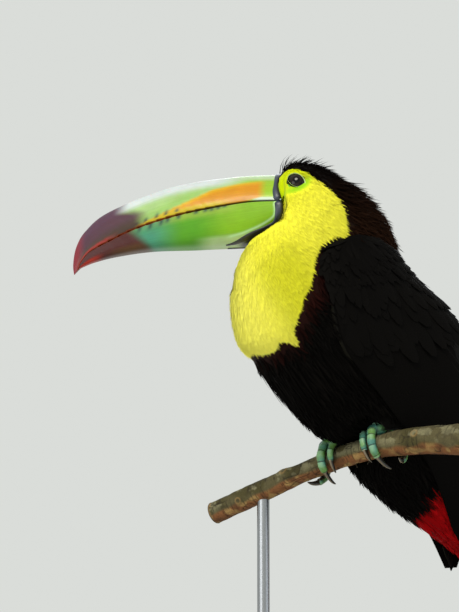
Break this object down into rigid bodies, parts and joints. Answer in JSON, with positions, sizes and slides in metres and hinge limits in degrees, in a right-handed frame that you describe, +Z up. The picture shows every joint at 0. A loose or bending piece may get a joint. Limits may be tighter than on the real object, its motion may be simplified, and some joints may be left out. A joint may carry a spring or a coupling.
{
  "type": "keel-billed toucan",
  "caption": "Life-size still model of a perched keel-billed toucan with turned head and large keeled bill, gripping a short cut branch on a round display stand.",
  "frame": {"origin": "centre of the round stand's underside, below the feet", "axes": "+Z up, -X the way the bird's body faces, +Y towards the bird's right side"},
  "size_m": [0.3166, 0.24, 0.3771],
  "materials": {
    "black_feather": "black contour feathers with a faint sheen, maroon on the nape",
    "yellow_feather": "soft lemon-yellow feathers",
    "white_feather": "soft white feathers",
    "red_feather": "crimson feathers",
    "bill_horn": "smooth satin horn, green with orange, blue and maroon areas",
    "eye": "wet dark brown eye",
    "scaled_skin": "scaled pale blue-green skin",
    "claw": "grey-brown horn",
    "bark": "rough grey-brown bark",
    "walnut": "turned and oiled walnut",
    "steel": "brushed rods"
  },
  "bodies": {
    "root": {"head": "yellow_feather", "neck": "yellow_feather", "trunk": "black_feather", "uppertail_coverts": "white_feather", "undertail_coverts": "red_feather", "tail": "black_feather", "bill_upper": "bill_horn", "bill_lower": "bill_horn", "eye_left": "eye", "wing_left": "black_feather", "thigh_left": "black_feather", "foot_left": "scaled_skin", "toe_inner_front_left": "scaled_skin", "claw_inner_front_left": "claw", "toe_outer_front_left": "scaled_skin", "claw_outer_front_left": "claw", "toe_inner_back_left": "scaled_skin", "claw_inner_back_left": "claw", "toe_outer_back_left": "scaled_skin", "claw_outer_back_left": "claw", "eye_right": "eye", "wing_right": "black_feather", "thigh_right": "black_feather", "foot_right": "scaled_skin", "toe_inner_front_right": "scaled_skin", "claw_inner_front_right": "claw", "toe_outer_front_right": "scaled_skin", "claw_outer_front_right": "claw", "toe_inner_back_right": "scaled_skin", "claw_inner_back_right": "claw", "toe_outer_back_right": "scaled_skin", "claw_outer_back_right": "claw", "perch": "bark", "stand_rod_right": "steel", "stand_rod_left": "steel", "stand_base": "walnut"}
  },
  "joints": []
}
